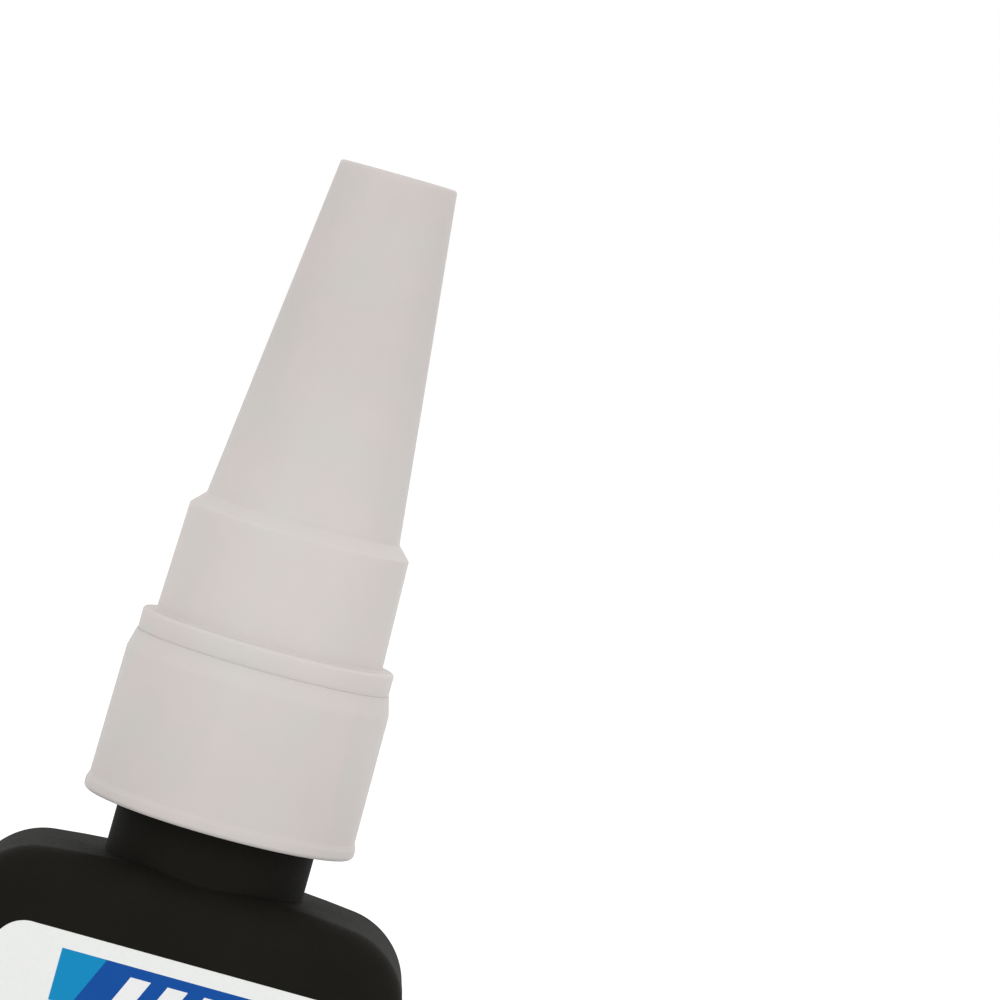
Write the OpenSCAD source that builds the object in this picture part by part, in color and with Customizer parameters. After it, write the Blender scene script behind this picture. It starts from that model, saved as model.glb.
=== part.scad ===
// Cyanoacrylate adhesive bottle: a flat blow-moulded bottle with two labels, a screw-on dispensing
// nozzle and a tall push-on cap with an anti-clog pin. Millimetres, base on z = 0, front towards -Y.

/* [Bottle body] */
// Width of the body across its front
body_w = 35; // [30:0.1:42]
// Depth of the body from front to back
body_d = 19; // [18:0.5:26]
// Height of the shoulder corners above the base
body_h = 51.8; // [46:0.1:70]
// Radius of the shoulder corners, seen from the front
shoulder_r = 6; // [4.5:0.25:8]
// Rise of the shoulder from its corners to the neck
shoulder_rise = 0.35; // [0:0.05:1]
// Radius of the base corners, seen from the front
foot_r = 4; // [3.5:0.25:6]
// Rounding of the edge around the front and back panels
edge_r = 3.2; // [2:0.1:3.4]
// Depth by which the flat base cuts into the rounded heel
foot_cut = 0.4; // [0.15:0.05:0.6]
// Thickness of the blow-moulded wall
wall = 1; // [0.7:0.1:1.4]
// Thickness of the base
floor_t = 1.8; // [1.4:0.1:2.6]
// Depth of the hollow under the base
foot_hollow = 0.7; // [0.3:0.1:1]
// Width of the flat rim around that hollow
foot_rim = 2.6; // [1.5:0.1:3.5]

/* [Neck] */
// Outside diameter of the neck
neck_d = 15.8; // [14:0.2:17]
// Thickness of the neck's wall
neck_wall = 1.4; // [1:0.1:2]
// Height of bare neck between the shoulder corners and the nozzle
neck_gap = 4.5; // [2:0.1:8]
// Rounding of the neck's outer lip
lip_round = 0.3; // [0.1:0.05:0.6]
// Pitch of the neck thread
thread_pitch = 3; // [2.6:0.1:3.6]
// Height of a thread's ridge above its wall
thread_depth = 0.9; // [0.6:0.05:1.1]
// Radial gap between a ridge's crest and the facing wall
thread_clear = 0.25; // [0.15:0.05:0.4]
// Turns of the thread on the neck
thread_turns = 1.5; // [1:0.25:2]
// Distance from a thread's end to the edge that it stops short of
thread_inset = 1.2; // [0.9:0.1:1.6]

/* [Seals] */
// Thickness of the foil across the bottle's mouth
foil_t = 0.15; // [0.1:0.05:0.3]
// Distance of the foil's edge inside the neck's outer wall
foil_inset = 0.1; // [0:0.05:0.4]
// Thickness of the foam liner under the nozzle's deck
liner_t = 0.8; // [0.5:0.1:1.5]
// Diameter of the hole through the liner
liner_hole_d = 9; // [7:0.5:11]
// Gap between the liner's edge and the skirt
liner_clear = 0.1; // [0.05:0.05:0.3]

/* [Nozzle] */
// Height of the nozzle's skirt, up to the face that the cap seats on
skirt_h = 13; // [11:0.25:18]
// Thickness of the skirt's wall at its top
skirt_wall = 1.45; // [1:0.05:2]
// Growth of the skirt's radius from top to bottom
skirt_draft = 0.12; // [0:0.02:0.4]
// Height of the rolled bead at the skirt's foot
bead_h = 1.3; // [0.6:0.1:2]
// Stand-out of that bead
bead_out = 0.19; // [0.05:0.01:0.5]
// Drop of the skirt's rounded shoulder
skirt_round_h = 1.55; // [0.8:0.05:2.5]
// Inward run of the skirt's rounded shoulder
skirt_round_in = 0.4; // [0.2:0.05:0.7]
// Thickness of the deck that closes the skirt
deck_t = 1.7; // [1.2:0.1:2.4]
// Outside diameter of the ring that the cap snaps over
ring_d = 15; // [13:0.2:16]
// Height of that ring above the deck
ring_h = 6.5; // [5:0.25:7.5]
// Thickness of the ring's wall
ring_wall = 1.2; // [0.8:0.1:1.6]
// Stand-out of the ring's snap bead
snap_out = 0.12; // [0.05:0.01:0.2]
// Height of the ring's snap bead above the deck
snap_z = 3; // [2.4:0.1:4]

/* [Spout] */
// Outside diameter of the spout at the deck
spout_d = 8.4; // [7:0.2:10]
// Thickness of the spout's wall at the deck
spout_wall = 1.1; // [0.8:0.1:1.6]
// Diameter of the straight tip
tip_d = 3.2; // [2.8:0.1:4]
// Length of the straight tip
tip_h = 4; // [3:0.25:6]
// Width of the step below the straight tip
tip_step = 0.3; // [0.1:0.05:0.6]
// Diameter of the orifice
orifice_d = 1.5; // [1.2:0.1:1.8]

/* [Cap] */
// Thickness of the cap's collar wall at its foot
collar_wall = 1.3; // [1:0.05:1.8]
// Gap between the collar and the nozzle's ring
collar_clear = 0.25; // [0.2:0.01:0.4]
// Gap between the two snap beads as they pass
snap_clear = 0.04; // [0.02:0.01:0.08]
// Height of the collar above the flange
collar_h = 8.7; // [7.5:0.1:12]
// Loss of the collar's radius from foot to top
collar_draft = 0.29; // [0:0.01:0.4]
// Stand-out of the flange at the collar's foot
flange_out = 1; // [0.5:0.05:1.6]
// Height of that flange
flange_h = 1.75; // [1:0.05:2.5]
// Rounding of the flange's edges
flange_round = 0.25; // [0.1:0.05:0.45]
// Inward run of the step between collar and cone
step_in = 1.04; // [0.6:0.02:1.4]
// Height of that step
step_h = 1.05; // [0.8:0.05:2]
// Height of the cone
cone_h = 27.5; // [22:0.5:40]
// Diameter of the cone at its top
cone_top_d = 9.28; // [8.6:0.02:11]
// Thickness of the cone's wall
cone_wall = 1.2; // [0.9:0.05:1.5]
// Thickness of the cap's top
top_t = 1.4; // [1:0.1:2]
// Rounding of the cap's top edge
top_round = 0.35; // [0.1:0.05:0.8]

/* [Sealing pin] */
// Diameter of the pin
pin_d = 0.9; // [0.6:0.05:1]
// Length of the pin held in the cap's boss
pin_hold = 4; // [2:0.25:4.5]
// Length of the pin inside the spout
pin_reach = 9; // [5:0.5:14]
// Height of the pin's point
pin_point_h = 0.8; // [0.3:0.1:1.5]
// Diameter of the boss that holds the pin
boss_d = 4.4; // [3.6:0.1:5]
// Height of that boss
boss_h = 5; // [4.75:0.25:7]
// Gap between the boss and the spout's tip
seat_gap = 0.05; // [0.02:0.01:0.2]

/* [Labels] */
// Thickness of a label
label_t = 0.12; // [0.08:0.02:0.3]
// Distance of a label's sides inside the flat panel
label_margin = 0.2; // [0:0.1:3]
// Drop of a label's top below the shoulder corners
label_drop = 5.5; // [4:0.1:10]
// Height of a label's foot above the base
label_foot = 8.5; // [5:0.5:14]
// Radius of a label's corners
label_r = 2.6; // [1:0.1:5]

/* [Adhesive] */
// Depth of the adhesive in the bottle
fill_h = 35; // [15:0.5:38]
// Gap between the adhesive and the wall
fill_gap = 0.1; // [0.05:0.05:0.3]

/* [Hidden] */
// Widths of a thread's ridge at its root and crest, as shares of the pitch
root_share = 0.5;
crest_share = 0.24;
// Depth by which a ridge is rooted in its wall, and by which its ends dive under the surface
thread_root = 0.4;
thread_dive = 0.1;
// Angle over which a thread fades out, and facets in one turn of it
thread_fade = 40;
thread_steps = 30;
// Half height of a snap bead, and the shares of the skirt's rolled bead that its slope and rounding take
snap_half_h = 0.35;
bead_slope_share = 0.35;
bead_round_share = 0.4;
// Facets of the forms that are hulls, and steps in a quarter of an outline's arc
hull_fn = 32;
arc_steps = 6;
// Length by which cuts run past what they cut
overrun = 1;

// Heights of the stack, from the shoulder to the cap's top
skirt_z = body_h + neck_gap;
deck_z = skirt_z + skirt_h;
deck_under_z = deck_z - deck_t;
liner_z = deck_under_z - liner_t;
land_z = liner_z - foil_t;
flange_z = deck_z + flange_h;
collar_z = flange_z + collar_h;
cone_z = collar_z + step_h;
top_z = cone_z + cone_h;
cap_roof_z = top_z - top_t;
boss_z = cap_roof_z - boss_h;
tip_z = boss_z - seat_gap;
ring_top_z = deck_z + ring_h;

// Radii, from the bore outwards
neck_r = neck_d / 2;
bore_r = neck_r - neck_wall;
skirt_in_r = neck_r + thread_depth + thread_clear;
skirt_top_r = skirt_in_r + skirt_wall;
skirt_foot_r = skirt_top_r + skirt_draft;
bead_r = skirt_foot_r + bead_out;
deck_r = skirt_top_r - skirt_round_in;
ring_r = ring_d / 2;
ring_in_r = ring_r - ring_wall;
spout_r = spout_d / 2;
tip_r = tip_d / 2;
collar_in_r = ring_r + collar_clear;
collar_foot_r = collar_in_r + collar_wall;
collar_top_r = collar_foot_r - collar_draft;
flange_r = collar_foot_r + flange_out;
cone_foot_r = collar_top_r - step_in;
cone_top_r = cone_top_d / 2;

// Label outline
label_w = body_w - 2 * (edge_r + label_margin);
label_h = body_h - label_drop - label_foot;

// Points along a quarter arc, or along a quarter of an ellipse where its two radii differ
function arc(centre, rx, ry, from, to) =
    [for (i = [0:arc_steps]) let (a = from + (to - from) * i / arc_steps)
        centre + [rx * cos(a), ry * sin(a)]];

// Half outline of a disc of thickness t whose two rims are rounded
function puck_outline(r, t, rim) = concat(
    [[0, -t / 2]],
    arc([r - rim, rim - t / 2], rim, rim, -90, 0),
    arc([r - rim, t / 2 - rim], rim, rim, 0, 90),
    [[0, t / 2]]);

// One corner of the body: a rounded disc that lies across the bottle, with its axis along Y
module puck(x, z, r, t, rim) {
    translate([x, 0, z]) rotate([90, 0, 0])
        rotate_extrude($fn = hull_fn) polygon(puck_outline(r, t, min(rim, r)));
}

// The body's form, taken in by inset all round and with its base at floor_z
module body_form(inset, floor_z) {
    t = body_d - 2 * inset;
    rim = edge_r - inset;
    top_r = shoulder_r - inset;
    base_r = foot_r - inset;
    hull() for (side = [-1, 1]) {
        puck(side * (body_w / 2 - shoulder_r), body_h - shoulder_r, top_r, t, rim);
        puck(side * neck_r, body_h + shoulder_rise - shoulder_r, top_r, t, rim);
        puck(side * (body_w / 2 - foot_r), floor_z + base_r, base_r, t, rim);
    }
}

// One cross-section of a thread at angle a: inner and outer radius, with a half width for each
function thread_ring(a, z, r_in, r_out, half_in, half_out) =
    [for (p = [[r_in, -half_in], [r_out, -half_out], [r_out, half_out], [r_in, half_in]])
        [p[0] * cos(a), p[0] * sin(a), z + p[1]]];

// A thread's helix as one closed form. way is 1 for a ridge that stands outwards from wall_r and
// -1 for one that stands inwards. Angle 0 of the helix lies at zero_z.
module thread(wall_r, way, zero_z, from_z, to_z) {
    first = (from_z - zero_z) / thread_pitch * 360;
    last = (to_z - zero_z) / thread_pitch * 360;
    steps = ceil((last - first) / 360 * thread_steps);
    root_half = root_share * thread_pitch / 2;
    crest_half = crest_share * thread_pitch / 2;
    rings = [for (i = [0:steps]) let (
            a = first + (last - first) * i / steps,
            fade = min(1, (a - first) / thread_fade, (last - a) / thread_fade),
            crest_r = wall_r + way * (fade * (thread_depth + thread_dive) - thread_dive),
            root_r = wall_r - way * thread_root,
            z = zero_z + thread_pitch * a / 360)
        way > 0 ? thread_ring(a, z, root_r, crest_r, root_half, crest_half)
                : thread_ring(a, z, crest_r, root_r, crest_half, root_half)];
    sides = 4;
    skin = [for (i = [0:steps - 1], j = [0:sides - 1]) let (
            k = (j + 1) % sides, here = i * sides, next = here + sides)
        each [[here + j, here + k, next + k], [here + j, next + k, next + j]]];
    end = steps * sides;
    caps = [[2, 1, 0], [3, 2, 0], [end, end + 1, end + 2], [end, end + 2, end + 3]];
    polyhedron(points = [for (ring = rings) each ring], faces = concat(skin, caps));
}

// Height at which the neck's helix starts; the nozzle's helix runs half a pitch above it
neck_thread_z = land_z - thread_inset - thread_turns * thread_pitch;

module neck() {
    root_z = body_h - shoulder_r;
    rotate_extrude() polygon(concat(
        [[0, root_z], [neck_r, root_z]],
        arc([neck_r - lip_round, land_z - lip_round], lip_round, lip_round, 0, 90),
        [[0, land_z]]));
    thread(neck_r, 1, neck_thread_z, neck_thread_z, land_z - thread_inset);
}

// The hollow under the base, inside the flat rim that the bottle stands on
module foot_hollow_form() {
    reach = body_w / 2 - foot_r - foot_rim;
    r = body_d / 2 - edge_r - foot_rim;
    translate([0, 0, -overrun]) linear_extrude(foot_hollow + overrun)
        hull() for (side = [-1, 1]) translate([side * (reach - r), 0]) circle(r, $fn = hull_fn);
}

module bottle() {
    mouth_z = body_h - shoulder_r;
    color("#1f1f1c") difference() {
        union() {
            body_form(0, -foot_cut);
            neck();
        }
        translate([-body_w / 2, -body_d / 2, -foot_cut - overrun])
            cube([body_w, body_d, foot_cut + overrun]);
        body_form(wall, floor_t);
        translate([0, 0, mouth_z]) cylinder(h = land_z - mouth_z + overrun, r = bore_r);
        foot_hollow_form();
    }
}

// A label's plate on the front panel, with rounded corners
module label_plate() {
    corner_x = label_w / 2 - label_r;
    corner_z = label_h / 2 - label_r;
    translate([0, -body_d / 2, label_foot + label_h / 2]) rotate([90, 0, 0]) linear_extrude(label_t)
        hull() for (x = [-corner_x, corner_x], z = [-corner_z, corner_z])
            translate([x, z]) circle(label_r, $fn = hull_fn);
}

module front_label() {
    color("#ececea") label_plate();
}

module back_label() {
    color("#ececea") rotate([0, 0, 180]) label_plate();
}

// The liquid that the bottle holds, up to its level
module adhesive() {
    color("#e9ecdf", 0.5) intersection() {
        body_form(wall + fill_gap, floor_t + fill_gap);
        translate([-body_w / 2, -body_d / 2, 0]) cube([body_w, body_d, floor_t + fill_h]);
    }
}

// Foil that is sealed across the bottle's mouth until first use
module foil_seal() {
    color("#c9cbcc") translate([0, 0, land_z]) cylinder(h = foil_t, r = neck_r - foil_inset);
}

// Foam ring that the nozzle's deck presses on the mouth
module seal_liner() {
    color("#f2f1ec") rotate_extrude() polygon([
        [liner_hole_d / 2, liner_z], [skirt_in_r - liner_clear, liner_z],
        [skirt_in_r - liner_clear, deck_under_z], [liner_hole_d / 2, deck_under_z]]);
}

// Skirt and deck of the nozzle, from the rolled bead at its foot to the face that the cap seats on
function skirt_outline() = let (roll = bead_round_share * bead_h) concat(
    [[0, skirt_z]],
    arc([bead_r - roll, skirt_z + roll], roll, roll, -90, 0),
    [[bead_r, skirt_z + bead_h * (1 - bead_slope_share)], [skirt_foot_r, skirt_z + bead_h]],
    arc([deck_r, deck_z - skirt_round_h], skirt_round_in, skirt_round_h, 0, 90));

// Snap ring on the deck, with its bead, down to the groove around the spout
function ring_outline() = [
    [ring_r, deck_z],
    [ring_r, deck_z + snap_z - snap_half_h], [ring_r + snap_out, deck_z + snap_z],
    [ring_r, deck_z + snap_z + snap_half_h],
    [ring_r, ring_top_z - ring_wall / 2], [ring_r - ring_wall / 2, ring_top_z],
    [ring_in_r, ring_top_z], [ring_in_r, deck_z]];

// Tapered spout with a straight tip
function spout_outline() = [
    [spout_r, deck_z], [tip_r + tip_step, tip_z - tip_h], [tip_r, tip_z - tip_h],
    [tip_r, tip_z], [0, tip_z]];

module passage() {
    base_r = spout_r - spout_wall;
    rotate_extrude() polygon([
        [0, deck_under_z - overrun], [base_r, deck_under_z - overrun], [base_r, deck_under_z],
        [orifice_d / 2, tip_z - tip_h], [orifice_d / 2, tip_z + overrun], [0, tip_z + overrun]]);
}

module nozzle() {
    color("#d2cdc9") {
        difference() {
            rotate_extrude() polygon(concat(skirt_outline(), ring_outline(), spout_outline()));
            translate([0, 0, skirt_z - overrun])
                cylinder(h = deck_under_z - skirt_z + overrun, r = skirt_in_r);
            passage();
        }
        thread(skirt_in_r, -1, neck_thread_z + thread_pitch / 2,
               skirt_z + thread_inset, liner_z - thread_inset);
    }
}

// Outside of the cap: flange, collar, step and cone
function cap_outline() = concat(
    [[0, deck_z]],
    arc([flange_r - flange_round, deck_z + flange_round], flange_round, flange_round, -90, 0),
    arc([flange_r - flange_round, flange_z - flange_round], flange_round, flange_round, 0, 90),
    [[collar_foot_r, flange_z], [collar_top_r, collar_z], [cone_foot_r, cone_z]],
    arc([cone_top_r - top_round, top_z - top_round], top_round, top_round, 0, 90),
    [[0, top_z]]);

// Inside of the cap: the collar's bore with its snap bead, then the cone's hollow
function cap_hollow() = let (
        bead_z = deck_z + snap_z - 3 * snap_half_h,
        bead_crest_r = ring_r + snap_out + snap_clear) [
    [0, deck_z - overrun], [collar_in_r, deck_z - overrun],
    [collar_in_r, bead_z - snap_half_h], [bead_crest_r, bead_z], [collar_in_r, bead_z + snap_half_h],
    [collar_in_r, collar_z - step_h], [cone_foot_r - cone_wall, cone_z],
    [cone_top_r - cone_wall, cap_roof_z], [0, cap_roof_z]];

module cap() {
    color("#d4cfcb") difference() {
        union() {
            difference() {
                rotate_extrude() polygon(cap_outline());
                rotate_extrude() polygon(cap_hollow());
            }
            translate([0, 0, boss_z]) cylinder(h = boss_h + top_t / 2, d = boss_d);
        }
        translate([0, 0, boss_z - overrun]) cylinder(h = pin_hold + overrun, d = pin_d);
    }
}

// Steel pin that keeps the orifice clear
module sealing_pin() {
    foot_z = tip_z - pin_reach;
    color("#b4b6b8") rotate_extrude() polygon([
        [0, foot_z], [pin_d / 2, foot_z + pin_point_h], [pin_d / 2, boss_z + pin_hold],
        [0, boss_z + pin_hold]]);
}

bottle();
front_label();
back_label();
adhesive();
foil_seal();
seal_liner();
nozzle();
cap();
sealing_pin();
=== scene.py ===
import math

import bmesh
import bpy
from mathutils import Matrix, Vector


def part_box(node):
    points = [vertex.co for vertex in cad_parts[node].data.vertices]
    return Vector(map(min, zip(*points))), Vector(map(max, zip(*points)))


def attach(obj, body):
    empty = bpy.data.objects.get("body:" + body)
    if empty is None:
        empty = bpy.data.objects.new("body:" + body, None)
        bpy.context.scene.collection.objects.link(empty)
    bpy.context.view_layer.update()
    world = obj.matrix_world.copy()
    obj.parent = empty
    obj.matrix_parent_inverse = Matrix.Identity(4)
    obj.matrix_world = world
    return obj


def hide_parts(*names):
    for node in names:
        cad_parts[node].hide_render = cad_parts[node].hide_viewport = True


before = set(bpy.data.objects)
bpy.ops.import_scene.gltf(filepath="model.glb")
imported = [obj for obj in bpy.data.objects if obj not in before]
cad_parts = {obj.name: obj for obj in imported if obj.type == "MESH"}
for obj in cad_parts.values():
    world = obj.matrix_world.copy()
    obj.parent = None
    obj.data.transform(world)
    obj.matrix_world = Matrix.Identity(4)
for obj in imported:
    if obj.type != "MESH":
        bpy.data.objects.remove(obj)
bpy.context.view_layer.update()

# Adhesive bottle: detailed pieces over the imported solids, their materials, and the photograph's stage

MM = 0.001


def box_mm(node):
    """A node's lowest and highest corners in millimetres."""
    return [Vector(corner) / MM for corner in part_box(node)]


# Sizes are in millimetres. These come from the boxes of the solids.
HALF_W, HALF_D, LAND_Z = box_mm("bottle")[1]
LABEL_LOW, LABEL_HIGH = box_mm("front_label")
FOIL_R, _, FOIL_TOP = box_mm("foil_seal")[1]
LINER_Z = box_mm("seal_liner")[0].z
LINER_R, _, DECK_UNDER_Z = box_mm("seal_liner")[1]
SKIRT_Z = box_mm("nozzle")[0].z
BEAD_R, _, TIP_Z = box_mm("nozzle")[1]
DECK_Z = box_mm("cap")[0].z
FLANGE_R, _, TOP_Z = box_mm("cap")[1]
PIN_FOOT = box_mm("sealing_pin")[0].z
PIN_R, _, PIN_HEAD = box_mm("sealing_pin")[1]

# Body: height of its shoulder corners, rise of the shoulder to the neck, roundings and walls
BODY_H = 51.8
SHOULDER_R = 6.0
SHOULDER_RISE = 0.35
EDGE_R = 3.2
WALL = 1.0
FLOOR_T = 1.8
# Base: corner radius, depth of the flat cut, width of the rim, depth of the hollow
FOOT_R = 4.0
FOOT_CUT = 0.4
FOOT_RIM = 2.6
FOOT_HOLLOW = 0.7
# Insets of the hollow's lip, of the end of its slope and of its flat
HOLLOW_LIP = 0.14
HOLLOW_SLOPE = 0.4
HOLLOW_FLAT = 1.0
# Ridge in the hollow: half length and half width, taper, height, depth of its root
PINCH_REACH = 8.5
PINCH_R = 0.6
PINCH_TAPER = 0.2
PINCH_H = 0.38
PINCH_ROOT = 0.3
# Parting line around the body: stand-out, half width, and the shares of both that its rows have
SEAM_OUT = 0.018
SEAM_HALF = 0.5
SEAM_SHARES = ((0, 1), (1 / 3, 0.6), (1, 0.24))
# Neck
NECK_R = 7.9
BORE_R = 6.5
LIP_R = 0.3
# Thread: its ends stop short of the edges by the inset, fade out over a share of a turn and sink away
PITCH = 3.0
THREAD_DEPTH = 0.9
THREAD_INSET = 1.2
THREAD_TURNS = 1.5
THREAD_SINK = 0.02
FADE_SHARE = 40 / 360
# Half of a ridge from root to crest: height as a share of the depth, half width as a share of the pitch
THREAD_SHARES = ((-0.4, 0.25), (0, 0.24), (0.72, 0.147), (0.93, 0.11), (1, 0.06))
NECK_THREAD_Z = LAND_Z - THREAD_INSET - THREAD_TURNS * PITCH
# Nozzle's skirt
SKIRT_IN_R = 9.05
SKIRT_TOP_R = 10.5
SKIRT_FOOT_R = 10.62
SKIRT_DROP = 1.5
SKIRT_ROUND = 1.3
DECK_R = 10.1
BEAD_H = 1.3
BEAD_SLOPE = 0.455
# Ring that the cap snaps over, and its bead
RING_R = 7.5
RING_IN_R = 6.3
RING_H = 6.5
SNAP_H = 3.0
SNAP_OUT = 0.12
SNAP_HALF = 0.35
SNAP_CLEAR = 0.04
# Drop of the cap's bead below the ring's while the cap is on
CATCH_DROP = 3 * SNAP_HALF
# Spout
SPOUT_R = 4.2
SPOUT_WALL = 1.1
TIP_R = 1.6
TIP_H = 4.0
TIP_STEP = 0.3
ORIFICE_R = 0.75
# Cap
COLLAR_IN_R = 7.75
COLLAR_FOOT_R = 9.05
COLLAR_TOP_R = 8.76
CONE_FOOT_R = 7.72
CONE_TOP_R = 4.64
CONE_WALL = 1.2
ROOF_T = 1.4
BOSS_R = 2.2
BOSS_H = 5.0
GATE_R = 1.1
GATE_SLOPE = 0.2
GATE_DEPTH = 0.12
FLANGE_H = 1.75
COLLAR_H = 8.7
STEP_H = 1.05
FLANGE_Z = DECK_Z + FLANGE_H
COLLAR_Z = FLANGE_Z + COLLAR_H
CONE_Z = COLLAR_Z + STEP_H
# Pin: length that the boss holds, point, gaps to the boss, ring grooves
PIN_HOLD = 4.0
POINT_R = 0.1
POINT_H = 0.8
PIN_CLEAR = 0.002
HEAD_CLEAR = 0.02
GROOVES = 6
GROOVE_PITCH = 0.5
GROOVE_DEPTH = 0.05
GROOVE_STEP = 0.06
# Foil: depth by which its top and its underside are drawn into the bore, and how flat its middle stays
FOIL_SAG = 0.12
FOIL_DIP = 0.03
FOIL_POWER = 4
# Liner
LINER_HOLE_R = 4.5
# Labels: corner radius, gap to the panel, rounding of the film's edge, inset of its flat
LABEL_R = 2.6
FILM_LIFT = 0.004
FILM_R = 0.06
FILM_FLAT = 0.4
# Fillets, from the line where cap and nozzle meet to the roots of walls
PARTING_R = 0.02
FINE_R = 0.1
SOFT_R = 0.25
FULL_R = 0.5
# Length by which cuts and bands of print run past the edges where they end
OVERRUN = 1.0

# Fineness of the meshes
SIDES = 144
PIN_SIDES = 48
BODY_SIDES = 240
BASE_SIDES = 96
LABEL_SIDES = 64
EDGE_STEPS = 12
CROWN_STEPS = 16
THREAD_STEPS = 84
FOIL_STEPS = 8
ARC_STEP_DEG = 11
SHARP_DEG = 32
BODY_SHARP_DEG = 20
# Share of an outline's side that one fillet may take
FILLET_SHARE = 0.49
# Radius under which a point lies on the axis, and length under which an edge is merged
ON_AXIS = 1e-6
SLIVER = 0.0005


# Mesh building

def new_object(name, bm, sharp_deg=SHARP_DEG):
    bmesh.ops.recalc_face_normals(bm, faces=bm.faces)
    mesh = bpy.data.meshes.new(name)
    bm.to_mesh(mesh)
    bm.free()
    piece = bpy.data.objects.new(name, mesh)
    bpy.context.scene.collection.objects.link(piece)
    shade(piece, sharp_deg)
    return piece


def shade(piece, sharp_deg=SHARP_DEG):
    """Smooth shading, with the edges that turn by more than an angle kept sharp."""
    for polygon in piece.data.polygons:
        polygon.use_smooth = True
    piece.data.set_sharp_from_angle(angle=math.radians(sharp_deg))


def even_normals(piece):
    """Lets the large flat faces keep their normals up to their soft edges."""
    piece.modifiers.new("even_normals", "WEIGHTED_NORMAL").keep_sharp = True


def combine(piece, tool, operation):
    """Joins a tool's closed form to a piece or cuts it out of the piece."""
    change = piece.modifiers.new("combine", "BOOLEAN")
    change.operation = operation
    change.object = tool
    change.solver = "EXACT"
    graph = bpy.context.evaluated_depsgraph_get()
    piece.data = bpy.data.meshes.new_from_object(piece.evaluated_get(graph))
    piece.modifiers.clear()
    bpy.data.objects.remove(tool)


def clean(piece):
    """Merges the slivers that joined forms leave where they cross at a shallow angle."""
    bm = bmesh.new()
    bm.from_mesh(piece.data)
    bmesh.ops.remove_doubles(bm, verts=bm.verts, dist=SLIVER * MM)
    bmesh.ops.dissolve_degenerate(bm, edges=bm.edges, dist=SLIVER * MM)
    bm.to_mesh(piece.data)
    bm.free()


def rounded(corners, closed=False):
    """Outline of (r, z, fillet) corners, with an arc in place of each corner that has a fillet."""
    outline, last = [], len(corners) - 1
    for i, (r, z, fillet) in enumerate(corners):
        here = Vector((r, z))
        if fillet <= 0 or (not closed and i in (0, last)):
            outline.append(here)
            continue
        before = Vector(corners[i - 1][:2]) - here
        after = Vector(corners[(i + 1) % len(corners)][:2]) - here
        longest = FILLET_SHARE * min(before.length, after.length)
        a, b = before.normalized(), after.normalized()
        half = a.angle(b) / 2
        reach = min(fillet / math.tan(half), longest)
        centre = here + (a + b).normalized() * (reach / math.cos(half))
        start, end = here + a * reach - centre, here + b * reach - centre
        sweep = start.angle_signed(end)
        steps = max(2, math.ceil(abs(math.degrees(sweep)) / ARC_STEP_DEG))
        outline += [centre + Matrix.Rotation(-sweep * k / steps, 2) @ start for k in range(steps + 1)]
    return outline


def round_rect(half_x, half_y, r, sides):
    """Points around a rectangle with rounded corners, none of them on its middle lines."""
    points = []
    for k in range(sides):
        a = 2 * math.pi * (k + 0.5) / sides
        x = math.copysign(half_x - r, math.cos(a)) + r * math.cos(a)
        y = math.copysign(half_y - r, math.sin(a)) + r * math.sin(a)
        points.append((x, y))
    return points


def ring_verts(bm, points):
    return [bm.verts.new(Vector(p) * MM) for p in points]


def ring_faces(bm, low, high):
    """Faces between two rings of vertices, one of which may be a single point."""
    count = max(len(low), len(high))
    for k in range(count):
        j = (k + 1) % count
        corners = [low[k % len(low)], low[j % len(low)], high[j % len(high)], high[k % len(high)]]
        corners = list(dict.fromkeys(corners))
        if len(corners) > 2:
            bm.faces.new(corners)


def join_rings(bm, rings, ends=False):
    """Faces along a row of rings, and across its first and last ring where it has ends."""
    for low, high in zip(rings, rings[1:]):
        ring_faces(bm, low, high)
    if ends:
        bm.faces.new(rings[0])
        bm.faces.new(rings[-1])


def lathe(name, corners, closed=False, sides=SIDES):
    """A piece turned about Z from the corners of its outline."""
    bm = bmesh.new()
    angles = [2 * math.pi * k / sides for k in range(sides)]
    rings = []
    for r, z in rounded(corners, closed):
        points = [(r * math.cos(a), r * math.sin(a), z) for a in angles]
        rings.append(ring_verts(bm, points if r > ON_AXIS else [(0, 0, z)]))
    join_rings(bm, rings)
    if closed:
        ring_faces(bm, rings[-1], rings[0])
    return new_object(name, bm)


def ease(share):
    """A share that leaves 0 and comes to 1 gently."""
    return share * share * (3 - 2 * share)


def thread(wall_r, way, zero_z, from_z, to_z):
    """A ridge that winds up a wall, outwards (way 1) or inwards (way -1), and fades out at both ends."""
    bm = bmesh.new()
    lower = [(out, -half) for out, half in THREAD_SHARES]
    upper = [(out, half) for out, half in reversed(THREAD_SHARES)]
    first, last = (from_z - zero_z) / PITCH, (to_z - zero_z) / PITCH
    steps = math.ceil((last - first) * THREAD_STEPS)
    rings = []
    for i in range(steps + 1):
        turn = first + (last - first) * i / steps
        a = 2 * math.pi * turn
        fade = ease(min(1, (turn - first) / FADE_SHARE, (last - turn) / FADE_SHARE))
        ring = []
        for out, up in lower + upper:
            height = out * THREAD_DEPTH * (fade if out > 0 else 1)
            r = wall_r + way * (height - THREAD_SINK)
            ring.append((r * math.cos(a), r * math.sin(a), zero_z + PITCH * (turn + up)))
        rings.append(ring_verts(bm, ring))
    join_rings(bm, rings, ends=True)
    return new_object("thread", bm)


# Bottle

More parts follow.
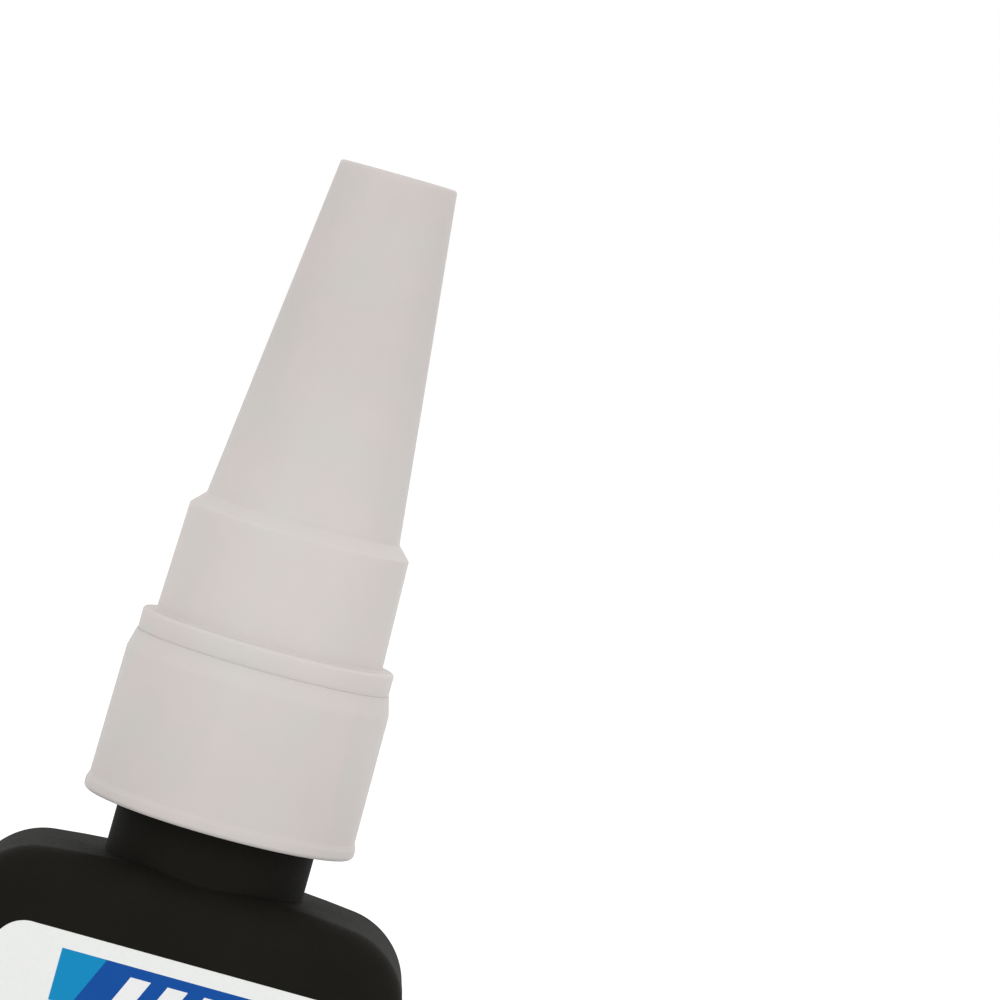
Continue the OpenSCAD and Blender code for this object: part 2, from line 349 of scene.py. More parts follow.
def body_row(inset, y, floor_z):
    """The body's outline seen from the front, taken in by inset, at depth y."""
    corners = [(side * (HALF_W - FOOT_R), floor_z + FOOT_R, FOOT_R) for side in (-1, 1)]
    shoulder_x, shoulder_z = HALF_W - SHOULDER_R, BODY_H - SHOULDER_R
    crown = SHOULDER_RISE / (1 - (NECK_R / shoulder_x) ** 2)
    for k in range(-CROWN_STEPS, CROWN_STEPS + 1):
        share = k / CROWN_STEPS
        corners.append((share * shoulder_x, shoulder_z + crown * (1 - share ** 2), SHOULDER_R))
    row = []
    for k in range(BODY_SIDES):
        a = 2 * math.pi * (k + 0.5) / BODY_SIDES
        nx, nz = math.cos(a), math.sin(a)
        x, z, r = max(corners, key=lambda c: c[0] * nx + c[1] * nz + c[2])
        row.append((x + (r - inset) * nx, y, z + (r - inset) * nz))
    return row


def body_form(inset, floor_z, seam=()):
    """The body's pillow form with rounded edges. seam holds the (stand-out, y) rows of a parting line."""
    bm = bmesh.new()
    flat, rim = HALF_D - EDGE_R, EDGE_R - inset
    turns = [math.pi / 2 * (1 - k / EDGE_STEPS) for k in range(EDGE_STEPS + 1)]
    front = [(inset + rim * (1 - math.cos(a)), -flat - rim * math.sin(a)) for a in turns]
    middle = [(inset - out, y) for out, y in seam]
    back = [(taken, -y) for taken, y in reversed(front)]
    rows = [body_row(taken, y, floor_z - inset) for taken, y in front + middle + back]
    join_rings(bm, [ring_verts(bm, row) for row in rows], ends=True)
    return bm


def seam_rows():
    """The parting line's rows of (stand-out, y), from front to back."""
    front = [(SEAM_OUT * out, -SEAM_HALF * away) for out, away in SEAM_SHARES]
    return front + [(out, -y) for out, y in reversed(front)]


def base_rings(bm, reach, r, outline):
    """Rings under the base, each taken in and lifted as a point of the outline says."""
    rings = []
    for inset, z in outline:
        rim = round_rect(reach - inset, r - inset, r - inset, BASE_SIDES)
        rings.append(ring_verts(bm, [(x, y, z) for x, y in rim]))
    return rings


def cut_base(bm):
    """Cuts the heel flat at z = 0 and hollows the base inside its rim."""
    geometry = bm.verts[:] + bm.edges[:] + bm.faces[:]
    bmesh.ops.bisect_plane(bm, geom=geometry, plane_co=(0, 0, 0), plane_no=(0, 0, 1), clear_inner=True)
    heel = [edge for edge in bm.edges if edge.is_boundary]
    slope = rounded([(0, 0, 0), (HOLLOW_LIP, 0, SOFT_R), (HOLLOW_SLOPE, FOOT_HOLLOW, SOFT_R),
                     (HOLLOW_FLAT, FOOT_HOLLOW, 0)])
    rings = base_rings(bm, HALF_W - FOOT_R - FOOT_RIM, HALF_D - EDGE_R - FOOT_RIM, slope)
    rim = [bm.edges.new(pair) for pair in zip(rings[0], rings[0][1:] + rings[0][:1])]
    bmesh.ops.bridge_loops(bm, edges=heel + rim)
    join_rings(bm, rings)
    bm.faces.new(rings[-1])


def pinch_off():
    """The ridge that the mould's halves leave across the hollow under the base."""
    bm = bmesh.new()
    crest_z = FOOT_HOLLOW - PINCH_H
    outline = rounded([(0, FOOT_HOLLOW + PINCH_ROOT, 0), (0, FOOT_HOLLOW, FINE_R),
                       (PINCH_TAPER, crest_z, FINE_R), (2 * PINCH_TAPER, crest_z, 0)])
    join_rings(bm, base_rings(bm, PINCH_REACH, PINCH_R, outline), ends=True)
    return new_object("pinch_off", bm)


def make_bottle():
    """Body, ridge, neck and thread in one, hollowed by the cavity and the neck's bore."""
    bm = body_form(0, -FOOT_CUT, seam_rows())
    cut_base(bm)
    bottle = new_object("bottle_shell", bm)
    root_z, bore_z = BODY_H - SHOULDER_R, LAND_Z + OVERRUN
    neck = [(0, root_z, 0), (NECK_R, root_z, 0), (NECK_R, LAND_Z, LIP_R), (0, LAND_Z, 0)]
    bore = [(0, root_z, 0), (BORE_R, root_z, 0), (BORE_R, bore_z, 0), (0, bore_z, 0)]
    combine(bottle, pinch_off(), "UNION")
    combine(bottle, lathe("neck", neck), "UNION")
    combine(bottle, thread(NECK_R, 1, NECK_THREAD_Z, NECK_THREAD_Z, LAND_Z - THREAD_INSET), "UNION")
    combine(bottle, new_object("cavity", body_form(WALL, FLOOR_T)), "DIFFERENCE")
    combine(bottle, lathe("bore", bore), "DIFFERENCE")
    clean(bottle)
    shade(bottle, BODY_SHARP_DEG)
    even_normals(bottle)
    return bottle


# Nozzle, cap and pin

def make_nozzle():
    """Skirt with a rolled bead, deck, snap ring and spout, with a thread half a pitch above the neck's."""
    snap_z, ring_z, step_z = DECK_Z + SNAP_H, DECK_Z + RING_H, TIP_Z - TIP_H
    bead_z = SKIRT_Z + BEAD_H
    skirt = [
        (SKIRT_IN_R, DECK_UNDER_Z, SOFT_R), (SKIRT_IN_R, SKIRT_Z, SOFT_R), (BEAD_R, SKIRT_Z, FULL_R),
        (BEAD_R, bead_z - BEAD_SLOPE, SOFT_R), (SKIRT_FOOT_R, bead_z, FULL_R),
        (SKIRT_TOP_R, DECK_Z - SKIRT_DROP, SKIRT_ROUND), (DECK_R, DECK_Z, PARTING_R)]
    ring = [
        (RING_R, DECK_Z, FINE_R), (RING_R, snap_z - SNAP_HALF, SOFT_R),
        (RING_R + SNAP_OUT, snap_z, FINE_R), (RING_R, snap_z + SNAP_HALF, SOFT_R),
        (RING_R, ring_z, FULL_R), (RING_IN_R, ring_z, SOFT_R), (RING_IN_R, DECK_Z, FULL_R)]
    spout = [
        (SPOUT_R, DECK_Z, FULL_R), (TIP_R + TIP_STEP, step_z, FINE_R), (TIP_R, step_z, FINE_R),
        (TIP_R, TIP_Z, SOFT_R), (ORIFICE_R, TIP_Z, FINE_R), (ORIFICE_R, step_z, FULL_R),
        (SPOUT_R - SPOUT_WALL, DECK_UNDER_Z, SOFT_R)]
    nozzle = lathe("nozzle_body", skirt + ring + spout, closed=True)
    zero_z = NECK_THREAD_Z + PITCH / 2
    from_z, to_z = SKIRT_Z + THREAD_INSET, LINER_Z - THREAD_INSET
    combine(nozzle, thread(SKIRT_IN_R, -1, zero_z, from_z, to_z), "UNION")
    clean(nozzle)
    shade(nozzle)
    return nozzle


def make_cap():
    """Hollow cap with a gate mark on its top, a snap bead in its collar and a boss for the pin."""
    gate_z, roof_z = TOP_Z - GATE_DEPTH, TOP_Z - ROOF_T
    boss_z = roof_z - BOSS_H
    hold_z = boss_z + PIN_HOLD
    bead_z, crest_r = DECK_Z + SNAP_H - CATCH_DROP, RING_R + SNAP_OUT + SNAP_CLEAR
    outside = [
        (0, gate_z, 0), (GATE_R - GATE_SLOPE, gate_z, FINE_R), (GATE_R, TOP_Z, FINE_R),
        (CONE_TOP_R, TOP_Z, SOFT_R), (CONE_FOOT_R, CONE_Z, SOFT_R), (COLLAR_TOP_R, COLLAR_Z, SOFT_R),
        (COLLAR_FOOT_R, FLANGE_Z, SOFT_R), (FLANGE_R, FLANGE_Z, SOFT_R), (FLANGE_R, DECK_Z, PARTING_R)]
    bead = [
        (COLLAR_IN_R, DECK_Z, SOFT_R), (COLLAR_IN_R, bead_z - SNAP_HALF, FINE_R),
        (crest_r, bead_z, FINE_R), (COLLAR_IN_R, bead_z + SNAP_HALF, FINE_R)]
    inside = [
        (COLLAR_IN_R, COLLAR_Z - STEP_H, FULL_R), (CONE_FOOT_R - CONE_WALL, CONE_Z, FULL_R),
        (CONE_TOP_R - CONE_WALL, roof_z, FULL_R), (BOSS_R, roof_z, FULL_R), (BOSS_R, boss_z, FINE_R),
        (PIN_R, boss_z, 0), (PIN_R, hold_z, 0), (0, hold_z, 0)]
    return lathe("cap_body", outside + bead + inside)


def make_pin():
    """Drawn pin with a ground point, and ring grooves along the length that the boss grips."""
    r, head_z = PIN_R - PIN_CLEAR, PIN_HEAD - HEAD_CLEAR
    corners = [(0, PIN_FOOT, 0), (POINT_R, PIN_FOOT, FINE_R), (r, PIN_FOOT + POINT_H, FULL_R)]
    for k in range(GROOVES):
        z = PIN_HEAD - PIN_HOLD + GROOVE_PITCH * (k + 1)
        for step, depth in enumerate((0, GROOVE_DEPTH, GROOVE_DEPTH, 0)):
            corners.append((r - depth, z + GROOVE_STEP * step, 0))
    return lathe("pin_steel", corners + [(r, head_z, FINE_R), (0, head_z, 0)], sides=PIN_SIDES)


# Seals and labels

def make_foil():
    """Foil that is sealed to the mouth and drawn slightly into the bore."""
    shares = [k / FOIL_STEPS for k in range(FOIL_STEPS + 1)]
    drawn = [(BORE_R * share, FOIL_TOP - FOIL_SAG * (1 - share ** FOIL_POWER), 0) for share in shares]
    rim = [(FOIL_R, FOIL_TOP, FINE_R), (FOIL_R, LAND_Z, FINE_R), (BORE_R, LAND_Z, FINE_R)]
    return lathe("foil_disc", drawn + rim + [(0, LAND_Z - FOIL_DIP, 0)])


def make_liner():
    """Foam ring between the nozzle's deck and the bottle's mouth."""
    corners = [(LINER_HOLE_R, LINER_Z, FINE_R), (LINER_R, LINER_Z, FINE_R),
               (LINER_R, DECK_UNDER_Z, FINE_R), (LINER_HOLE_R, DECK_UNDER_Z, FINE_R)]
    return lathe("foam_ring", corners, closed=True)


def make_label(name, side):
    """A film with rounded corners and a soft edge, on the front (side -1) or the back (side 1) panel."""
    bm = bmesh.new()
    half, thick = (LABEL_HIGH - LABEL_LOW) / 2, LABEL_HIGH.y - LABEL_LOW.y
    middle_z = (LABEL_HIGH.z + LABEL_LOW.z) / 2
    rings = []
    for inset, out in rounded([(0, FILM_LIFT, 0), (0, thick, FILM_R), (FILM_FLAT, thick, 0)]):
        rim = round_rect(half.x - inset, half.z - inset, LABEL_R - inset, LABEL_SIDES)
        rings.append(ring_verts(bm, [(x, side * (HALF_D + out), middle_z + z) for x, z in rim]))
    join_rings(bm, rings, ends=True)
    label = new_object(name, bm)
    even_normals(label)
    return label


# Materials

def srgb(*rgb):
    """A colour as a shader takes it, from its sRGB values out of 255 by the standard's formula."""
    return tuple(c / 255 / 12.92 if c <= 10 else ((c / 255 + 0.055) / 1.055) ** 2.4 for c in rgb)


# Each pair holds the two tones that a material varies between
BLACK_TONES = srgb(23, 22, 19), srgb(27, 26, 22)
NATURAL_TONES = srgb(213, 207, 204), srgb(204, 198, 194)
TINT_TONES = srgb(212, 200, 198), srgb(204, 204, 199)
# Painted light: the lighter tone laid on where light through a second pale wall behind brightens the
# translucent plastic
PAINTED_BACKLIT_TONE = srgb(230, 223, 219)
FILM_TONES = srgb(237, 239, 237), srgb(241, 242, 240)
STEEL_TONES = srgb(176, 178, 181), srgb(206, 208, 210)
FOIL_TONES = srgb(205, 207, 209), srgb(222, 223, 224)
FOAM_TONES = srgb(224, 222, 216), srgb(240, 239, 234)
LIQUID_TONES = srgb(238, 240, 228), srgb(246, 247, 240)
# Print
WHITE = srgb(240, 241, 240)
DEEP_BLUE = srgb(2, 76, 158)
LIGHT_BLUE = srgb(4, 138, 192)
INK = srgb(58, 62, 70)
GREY_INK = srgb(92, 96, 102)
# Lowest and highest roughness of each material
BLACK_ROUGH = 0.66, 0.74
NATURAL_ROUGH = 0.46, 0.54
FILM_ROUGH = 0.38, 0.46
STEEL_ROUGH = 0.2, 0.34
FOIL_ROUGH = 0.2, 0.36
FOAM_ROUGH = 0.75, 0.9
LIQUID_ROUGH = 0.0, 0.03
# Roughness that the black plastic's clouds add or take away, and that ink takes off the film
CLOUD_ROUGH = 0.03
INK_GLOSS = 0.06
# Range that most of a noise lies in
NOISE_LOW = 0.3
NOISE_HIGH = 0.7
# Natural plastic: share of its tones that follows the flow in the mould, share of its tint, share of a
# painted lighter band that stands in for light through a second wall behind, and how far light scatters in
# it, in mm for red, green and blue
FLOW_SHARE = 0.35
TINT_SHARE = 0.5
PAINTED_BACKLIT_SHARE = 0.28
SCATTER = (2.2, 1.9, 1.7)
# Waves of the foil's knurl, in radians per mm
KNURL_WAVE = 7.0
# Foam: cells per mm, and how far from a cell's middle it is roughest, as a share of their spacing
FOAM_CELLS = 5.0
FOAM_EDGE_SHARE = 0.8


class Nodes:
    """A material's node tree, with short calls for the nodes that it needs. Places are in mm."""

    def __init__(self, name):
        self.material = bpy.data.materials.new(name)
        self.material.use_nodes = True
        self.tree = self.material.node_tree
        self.shader = self.tree.nodes["Principled BSDF"]
        coords = self.tree.nodes.new("ShaderNodeTexCoord")
        scale = self.tree.nodes.new("ShaderNodeVectorMath")
        scale.operation = "SCALE"
        scale.inputs["Scale"].default_value = 1 / MM
        self.link(coords.outputs["Object"], scale.inputs[0])
        self.place = scale.outputs[0]
        split = self.tree.nodes.new("ShaderNodeSeparateXYZ")
        self.link(self.place, split.inputs[0])
        self.x, self.y, self.z = split.outputs

    def link(self, output, socket):
        self.tree.links.new(output, socket)

    def put(self, value, socket):
        """Links a socket to another node's output, or sets it to a number or a colour."""
        if hasattr(value, "is_output"):
            self.link(value, socket)
        elif socket.type == "RGBA":
            socket.default_value = (*value, 1)
        else:
            socket.default_value = value

    def math(self, operation, *values):
        node = self.tree.nodes.new("ShaderNodeMath")
        node.operation = operation
        for value, socket in zip(values, node.inputs):
            self.put(value, socket)
        return node.outputs[0]

    def stretch(self, x, y, z):
        """The place with each axis scaled, which draws a texture out along the small ones."""
        node = self.tree.nodes.new("ShaderNodeVectorMath")
        node.operation = "MULTIPLY"
        self.link(self.place, node.inputs[0])
        node.inputs[1].default_value = (x, y, z)
        return node.outputs[0]

    def noise(self, scale, detail=2.0, roughness=0.5, place=None):
        node = self.tree.nodes.new("ShaderNodeTexNoise")
        self.link(place or self.place, node.inputs["Vector"])
        node.inputs["Scale"].default_value = scale
        node.inputs["Detail"].default_value = detail
        node.inputs["Roughness"].default_value = roughness
        return node.outputs[0]

    def spread(self, value, low, high, to_low=0, to_high=1):
        node = self.tree.nodes.new("ShaderNodeMapRange")
        for v, socket in zip((value, low, high, to_low, to_high), node.inputs):
            self.put(v, socket)
        return node.outputs[0]

    def vary(self, noise, low=0, high=1):
        """A noise's usual range, spread from low to high."""
        return self.spread(noise, NOISE_LOW, NOISE_HIGH, low, high)

    def mix(self, share, a, b):
        node = self.tree.nodes.new("ShaderNodeMix")
        node.data_type = "RGBA"
        for value, name in ((share, "Factor_Float"), (a, "A_Color"), (b, "B_Color")):
            self.put(value, next(s for s in node.inputs if s.identifier == name))
        return next(s for s in node.outputs if s.identifier == "Result_Color")

    def bump(self, height, depth, strength=0.5, over=None):
        """A normal that a height of so many mm bends, over another bump where one is given."""
        node = self.tree.nodes.new("ShaderNodeBump")
        node.inputs["Distance"].default_value = depth * MM
        node.inputs["Strength"].default_value = strength
        self.link(height, node.inputs["Height"])
        if over:
            self.link(over, node.inputs["Normal"])
        return node.outputs[0]

    def finish(self, **sockets):
        """Puts values into the shader's sockets, whose names have underscores for spaces here."""
        for name, value in sockets.items():
            self.put(value, self.shader.inputs[name.replace("_", " ")])
        return self.material

    # Masks for print: 1 inside and 0 outside
    def both(self, a, b):
        return self.math("MULTIPLY", a, b)

    def either(self, *masks):
        out = masks[0]
        for mask in masks[1:]:
            out = self.math("MAXIMUM", out, mask)
        return out

    def between(self, value, low, high):
        return self.both(self.math("GREATER_THAN", value, low), self.math("LESS_THAN", value, high))

    def boxes(self, *boxes):
        """Boxes on the label, each as (lowest x, highest x, lowest z, highest z)."""
        masks = []
        for x0, x1, z0, z1 in boxes:
            masks.append(self.both(self.between(self.x, x0, x1), self.between(self.z, z0, z1)))
        return self.either(*masks)

    def disc(self, x, z, r):
        dx, dz = self.math("SUBTRACT", self.x, x), self.math("SUBTRACT", self.z, z)
        square = self.math("ADD", self.math("MULTIPLY", dx, dx), self.math("MULTIPLY", dz, dz))
        return self.math("LESS_THAN", square, r * r)


def black_plastic():
    n = Nodes("black_polyethylene")
    cloud = n.noise(scale=0.16, detail=3.0)
    grain = n.noise(scale=2.6)
    skin = n.noise(scale=9.0, detail=1.0)
    rough = n.math("ADD", n.vary(grain, *BLACK_ROUGH), n.vary(cloud, -CLOUD_ROUGH, CLOUD_ROUGH))
    normal = n.bump(skin, depth=0.004, over=n.bump(grain, depth=0.012))
    return n.finish(Base_Color=n.mix(n.vary(cloud), *BLACK_TONES), Roughness=rough,
                    Specular_IOR_Level=0.055, Normal=normal)


def natural_plastic(name):
    n = Nodes(name)
    flow = n.noise(scale=0.35, detail=3.0, roughness=0.55, place=n.stretch(x=1, y=1, z=0.12))
    cloud = n.noise(scale=0.11)
    blush = n.noise(scale=0.22)
    skin = n.noise(scale=5.0)
    share = n.math("ADD", n.vary(flow, 0, FLOW_SHARE), n.vary(cloud, 0, 1 - FLOW_SHARE))
    colour = n.mix(TINT_SHARE, n.mix(share, *NATURAL_TONES), n.mix(n.vary(blush), *TINT_TONES))
    # Painted light: a lighter band by height, standing in for the light that the translucent plastic lets
    # through where a second pale wall stands behind it
    rise = n.spread(n.z, SKIRT_Z + BEAD_H, FLANGE_Z)
    fall = n.spread(n.z, COLLAR_Z, (CONE_Z + TOP_Z) / 2, 1, 0)
    painted_backlight = n.math("MULTIPLY", n.both(rise, fall), PAINTED_BACKLIT_SHARE)
    normal = n.bump(skin, depth=0.004, over=n.bump(flow, depth=0.02, strength=0.3))
    return n.finish(Base_Color=n.mix(painted_backlight, colour, PAINTED_BACKLIT_TONE), Roughness=n.vary(flow, *NATURAL_ROUGH),
                    Specular_IOR_Level=0.18, Subsurface_Weight=0.18, Subsurface_Scale=1.0,
                    Subsurface_Radius=[d * MM for d in SCATTER], Normal=normal)


def label_film(name, print_on):
    """Satin film with a fine grain, and the print that print_on lays over its white."""
    n = Nodes(name)
    fibre = n.noise(scale=3.2, detail=3.0)
    colour, ink = print_on(n, n.mix(n.vary(fibre), *FILM_TONES))
    rough = n.math("SUBTRACT", n.vary(fibre, *FILM_ROUGH), n.math("MULTIPLY", ink, INK_GLOSS))
    return n.finish(Base_Color=colour, Roughness=rough, Specular_IOR_Level=0.15,
                    Normal=n.bump(fibre, depth=0.003, strength=0.4))


# Front print, in mm: boxes are (lowest x, highest x, lowest z, highest z)
BLOCK = (-8.8, 8.8, 40.9, 45.0)
BLOCK_LEAN = 0.45
TONE_X = -6.2
STRIPE_X = -3.77
STRIPE_PITCH = 2.9
STRIPE_COUNT = 4
STRIPE_SHARE = 0.55
STRIPE_LOW = 41.7
STRIPE_HIGH = 44.2
TEXT_BARS = (-8.8, 8.8, 39.9, 40.2), (-8.8, 4.6, 37.9, 38.7), (-8.8, 6.9, 36.3, 37.0)
DROP_Z = 23.6
DROP_R = 3.9
DROP_TIP_Z = 33.0
SHINE_X = -1.5
SHINE_Z = 23.0
SHINE_R = 0.8
FOOT_BAND = (-HALF_W, HALF_W, LABEL_LOW.z - OVERRUN, 14.2)
FOOT_RULE = (-HALF_W, HALF_W, 14.7, 15.3)
FOOT_BARS = (-10.5, 2.5, 12.0, 12.6), (-10.5, -1.0, 10.6, 11.1), (6.2, 10.5, 10.6, 12.6)


def block_print(n, colour):
    """A block in two blues with plain slanted stripes."""
    _, _, low_z, high_z = BLOCK
    shift = BLOCK_LEAN * (low_z + high_z) / 2
    slant = n.math("MULTIPLY_ADD", n.z, -BLOCK_LEAN, n.math("ADD", n.x, shift))
    block = n.boxes(BLOCK)
    colour = n.mix(block, colour, n.mix(n.math("GREATER_THAN", slant, TONE_X), LIGHT_BLUE, DEEP_BLUE))
    along = n.math("DIVIDE", n.math("SUBTRACT", slant, STRIPE_X), STRIPE_PITCH)
    inked = n.math("LESS_THAN", n.math("FRACT", along), STRIPE_SHARE)
    field = n.both(n.between(along, 0, STRIPE_COUNT), n.between(n.z, STRIPE_LOW, STRIPE_HIGH))
    return n.mix(n.both(inked, field), colour, WHITE), block


def drop_print(n, colour):
    """A drop: a disc with two tangents that meet at its tip, less a round shine."""
    sine = DROP_R / (DROP_TIP_Z - DROP_Z)
    width = n.math("MULTIPLY", n.math("SUBTRACT", DROP_TIP_Z, n.z), math.tan(math.asin(sine)))
    above = n.between(n.z, DROP_Z + DROP_R * sine, DROP_TIP_Z)
    peak = n.both(above, n.math("LESS_THAN", n.math("ABSOLUTE", n.x), width))
    form = n.either(n.disc(0, DROP_Z, DROP_R), peak)
    drop = n.math("SUBTRACT", form, n.disc(SHINE_X, SHINE_Z, SHINE_R))
    fill = n.mix(n.spread(n.z, DROP_Z - DROP_R, DROP_TIP_Z), DEEP_BLUE, LIGHT_BLUE)
    return n.mix(drop, colour, fill), drop


def front_print(n, colour):
    """A striped block, a drop, a foot band, and plain bars for lines of text."""
    colour, block = block_print(n, colour)
    text = n.boxes(*TEXT_BARS)
    colour, drop = drop_print(n, n.mix(text, colour, INK))
    band, rule = n.boxes(FOOT_BAND), n.boxes(FOOT_RULE)
    colour = n.mix(rule, n.mix(band, colour, DEEP_BLUE), LIGHT_BLUE)
    return n.mix(n.boxes(*FOOT_BARS), colour, WHITE), n.either(block, text, drop, band, rule)


# Back print, in mm, with boxes as on the front
HEAD_BAND = (-HALF_W, HALF_W, 42.4, LABEL_HIGH.z + OVERRUN)
HEAD_BARS = (-3.5, 10.5, 44.0, 44.7), (2.0, 10.5, 43.0, 43.5)
TEXT_FIELDS = (-11.2, 11.2, 23.25, 40.3), (-11.2, 3.0, 12.4, 20.15)
BLUE_MARKS = (-11.2, 11.2, 21.4, 21.65), (5.0, 11.2, 12.4, 18.6)
# Rows of small print: pitch, and the lowest and highest share of a row that is inked
ROW_PITCH = 1.55
ROW_LOW_SHARE = 0.3
ROW_HIGH_SHARE = 0.68
# Cells along a row: length, and the share of them that are gaps
CELL_LENGTH = 0.55
GAP_SHARE = 0.17


def small_print(n):
    """Rows of dashes of uneven length."""
    row = n.math("DIVIDE", n.z, ROW_PITCH)
    cell = n.tree.nodes.new("ShaderNodeCombineXYZ")
    n.link(n.math("FLOOR", n.math("DIVIDE", n.x, CELL_LENGTH)), cell.inputs[0])
    n.link(n.math("FLOOR", row), cell.inputs[1])
    draw = n.tree.nodes.new("ShaderNodeTexWhiteNoise")
    draw.noise_dimensions = "2D"
    n.link(cell.outputs[0], draw.inputs["Vector"])
    inked = n.math("GREATER_THAN", draw.outputs["Value"], GAP_SHARE)
    return n.both(inked, n.between(n.math("FRACT", row), ROW_LOW_SHARE, ROW_HIGH_SHARE))


def back_print(n, colour):
    """A blue head band, rows of grey dashes for small print, a rule and a plain square."""
    head, marks = n.boxes(HEAD_BAND), n.boxes(*BLUE_MARKS)
    colour = n.mix(head, colour, DEEP_BLUE)
    colour = n.mix(n.boxes(*HEAD_BARS), colour, WHITE)
    colour = n.mix(n.both(small_print(n), n.boxes(*TEXT_FIELDS)), colour, GREY_INK)
    return n.mix(marks, colour, LIGHT_BLUE), n.either(head, marks)


def steel():
    n = Nodes("drawn_steel")
    drawn = n.noise(scale=6.0, place=n.stretch(x=1, y=1, z=0.04))
    return n.finish(Base_Color=n.mix(drawn, *STEEL_TONES), Metallic=1.0,
                    Roughness=n.vary(drawn, *STEEL_ROUGH), Normal=n.bump(drawn, depth=0.006))


def foil():
    """Bright foil with fine creases and a knurl of two crossed waves."""
    n = Nodes("embossed_foil")
    creases = n.noise(scale=0.7, detail=4.0, roughness=0.6)
    waves = []
    for across in (n.math("ADD", n.x, n.y), n.math("SUBTRACT", n.x, n.y)):
        waves.append(n.math("SINE", n.math("MULTIPLY", across, KNURL_WAVE)))
    normal = n.bump(n.math("MULTIPLY", *waves), depth=0.02, over=n.bump(creases, depth=0.08))
    return n.finish(Base_Color=n.mix(creases, *FOIL_TONES), Metallic=1.0,
                    Roughness=n.vary(creases, *FOIL_ROUGH), Normal=normal)


def foam():
    n = Nodes("white_foam")
    cells = n.tree.nodes.new("ShaderNodeTexVoronoi")
    cells.inputs["Scale"].default_value = FOAM_CELLS
    n.link(n.place, cells.inputs["Vector"])
    far = cells.outputs["Distance"]
    rough = n.spread(far, 0, FOAM_EDGE_SHARE, *FOAM_ROUGH)
    return n.finish(Base_Color=n.mix(far, *FOAM_TONES), Roughness=rough,
                    Normal=n.bump(far, depth=0.05, strength=0.7))


def liquid():
    n = Nodes("clear_adhesive")
    cloud = n.noise(scale=0.2)
    return n.finish(Base_Color=n.mix(cloud, *LIQUID_TONES), Transmission_Weight=1.0, IOR=1.49,
                    Roughness=n.vary(cloud, *LIQUID_ROUGH))


# Pieces on their bodies

def dress(piece, body, node, material):
    piece.data.materials.clear()
    piece.data.materials.append(material)
    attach(piece, body)
    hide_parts(node)


dress(make_bottle(), "bottle", "bottle", black_plastic())
dress(make_label("front_film", -1), "bottle", "front_label",
      label_film("front_print", front_print))
dress(make_label("back_film", 1), "bottle", "back_label",
      label_film("back_print", back_print))
dress(make_foil(), "bottle", "foil_seal", foil())
dress(make_liner(), "liner", "seal_liner", foam())
dress(make_nozzle(), "nozzle", "nozzle", natural_plastic("nozzle_polyethylene"))
dress(make_cap(), "cap", "cap", natural_plastic("cap_polyethylene"))
dress(make_pin(), "cap", "sealing_pin", steel())
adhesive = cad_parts["adhesive"]
adhesive.data.materials.clear()
adhesive.data.materials.append(liquid())


# Stage: a pale floor, soft light and the photograph's camera, in metres, watts and degrees

FLOOR_HALF = 3.0
FLOOR_CELLS = 8
# The floor lies a hair below the base, so that no two faces lie in one plane
FLOOR_Z = -0.00001
FLOOR_TONE = 0.8
FLOOR_GLOW = 0.42
WORLD_LIGHT = 0.8
WORLD_WHITE = 1.0
LAMP_TARGET = (0, 0, 0.06)
# Name, place, size and power of each lamp
LAMPS = (
    ("key", (-0.35, -0.8, 0.6), 0.7, 1.7),
    ("fill", (0.6, -0.7, 0.35), 0.8, 1.0),
    ("back", (0.35, 0.85, 0.75), 0.8, 0.8),
)
# The camera looks along +Y, turned to +X by the yaw and down by the pitch, and then rolled
CAMERA_PLACE = (0.0, -0.450, 0.10358)
CAMERA_YAW = 1.8132
CAMERA_PITCH = 2.2033
CAMERA_ROLL = 15.724
SENSOR_MM = 36.0
LENS_MM = 209.9
CLIP_NEAR = 0.01
CLIP_FAR = 20.0


def background_rays(tree):
    """1 for the rays that show the background: the camera's, reflections and refractions."""
    rays = tree.nodes.new("ShaderNodeLightPath")
    most = rays.outputs["Is Camera Ray"]
    for name in ("Is Glossy Ray", "Is Transmission Ray"):
        node = tree.nodes.new("ShaderNodeMath")
        node.operation = "MAXIMUM"
        tree.links.new(most, node.inputs[0])
        tree.links.new(rays.outputs[name], node.inputs[1])
        most = node.outputs[0]
    return most


def pick_by_ray(tree, output, other, background):
    """Shows one shader to the rays that see the background, and the other to the rest."""
    pick = tree.nodes.new("ShaderNodeMixShader")
    tree.links.new(background_rays(tree), pick.inputs[0])
    tree.links.new(other.outputs[0], pick.inputs[1])
    tree.links.new(background.outputs[0], pick.inputs[2])
    tree.links.new(pick.outputs[0], tree.nodes.new(output).inputs["Surface"])


def plain_shader(tree, kind, level, strength=None):
    node = tree.nodes.new(kind)
    node.inputs["Color"].default_value = (level, level, level, 1)
    if strength is not None:
        node.inputs["Strength"].default_value = strength
    return node


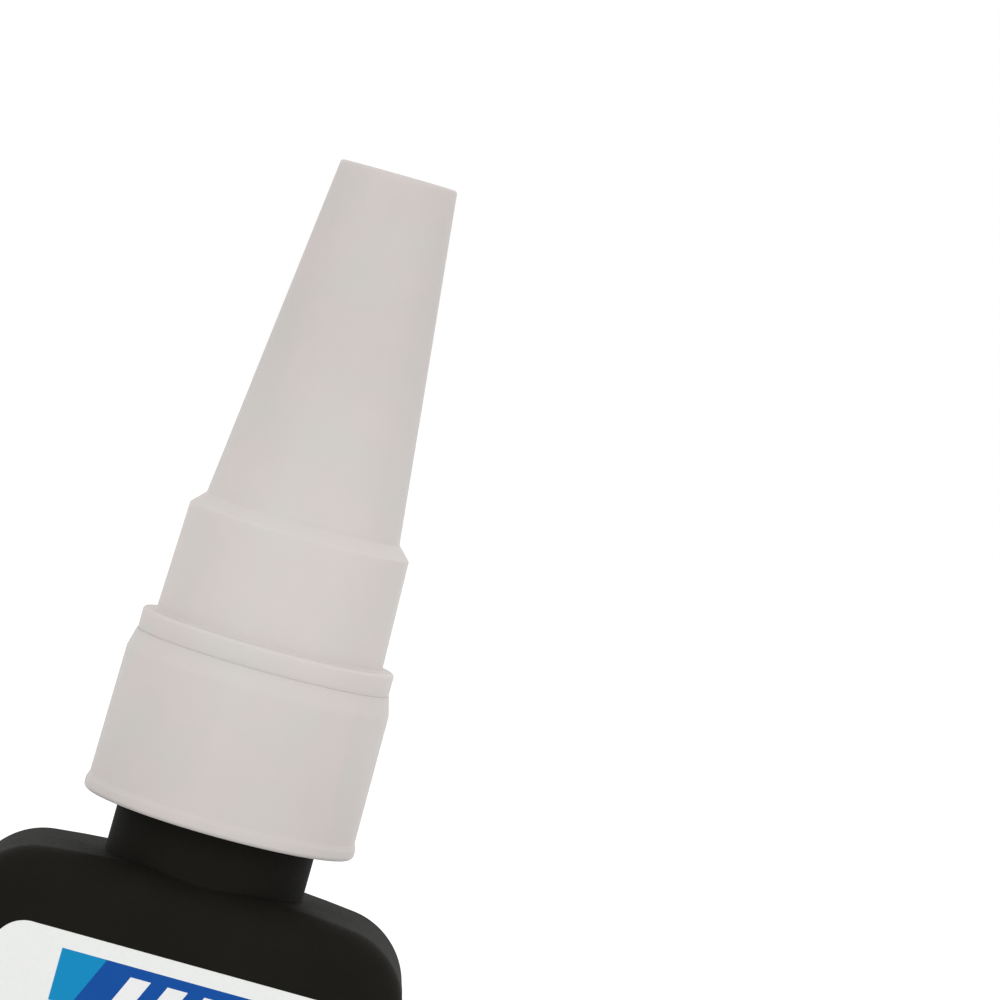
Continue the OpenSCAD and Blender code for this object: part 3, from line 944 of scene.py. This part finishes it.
def make_floor():
    bm = bmesh.new()
    bmesh.ops.create_grid(bm, x_segments=FLOOR_CELLS, y_segments=FLOOR_CELLS, size=FLOOR_HALF)
    floor = new_object("floor", bm)
    floor.location.z = FLOOR_Z
    material = bpy.data.materials.new("pale_floor")
    material.use_nodes = True
    tree = material.node_tree
    tree.nodes.clear()
    plain = plain_shader(tree, "ShaderNodeBsdfDiffuse", FLOOR_TONE)
    glow = plain_shader(tree, "ShaderNodeEmission", 1.0, FLOOR_GLOW)
    both = tree.nodes.new("ShaderNodeAddShader")
    tree.links.new(plain.outputs[0], both.inputs[0])
    tree.links.new(glow.outputs[0], both.inputs[1])
    pick_by_ray(tree, "ShaderNodeOutputMaterial", plain, both)
    floor.data.materials.append(material)


def make_world():
    world = bpy.data.worlds.new("studio")
    bpy.context.scene.world = world
    world.use_nodes = True
    tree = world.node_tree
    tree.nodes.clear()
    light = plain_shader(tree, "ShaderNodeBackground", 1.0, WORLD_LIGHT)
    white = plain_shader(tree, "ShaderNodeBackground", 1.0, WORLD_WHITE)
    pick_by_ray(tree, "ShaderNodeOutputWorld", light, white)


def make_lamp(name, place, size, power):
    data = bpy.data.lights.new(name, "AREA")
    data.shape = "DISK"
    data.size = size
    data.energy = power
    lamp = bpy.data.objects.new(name, data)
    bpy.context.scene.collection.objects.link(lamp)
    lamp.location = place
    lamp.rotation_euler = (Vector(LAMP_TARGET) - Vector(place)).to_track_quat("-Z", "Y").to_euler()


def make_camera():
    data = bpy.data.cameras.new("camera")
    data.sensor_width = SENSOR_MM
    data.lens = LENS_MM
    data.clip_start = CLIP_NEAR
    data.clip_end = CLIP_FAR
    camera = bpy.data.objects.new("camera", data)
    bpy.context.scene.collection.objects.link(camera)
    yaw, pitch = math.radians(CAMERA_YAW), math.radians(CAMERA_PITCH)
    level = math.cos(pitch)
    look = Vector((math.sin(yaw) * level, math.cos(yaw) * level, -math.sin(pitch)))
    roll = Matrix.Rotation(math.radians(CAMERA_ROLL), 3, "Z")
    turn = look.to_track_quat("-Z", "Y").to_matrix() @ roll
    camera.matrix_world = Matrix.Translation(CAMERA_PLACE) @ turn.to_4x4()
    bpy.context.scene.camera = camera


make_floor()
make_world()
for lamp in LAMPS:
    make_lamp(*lamp)
make_camera()
bpy.context.scene.view_settings.view_transform = "Standard"
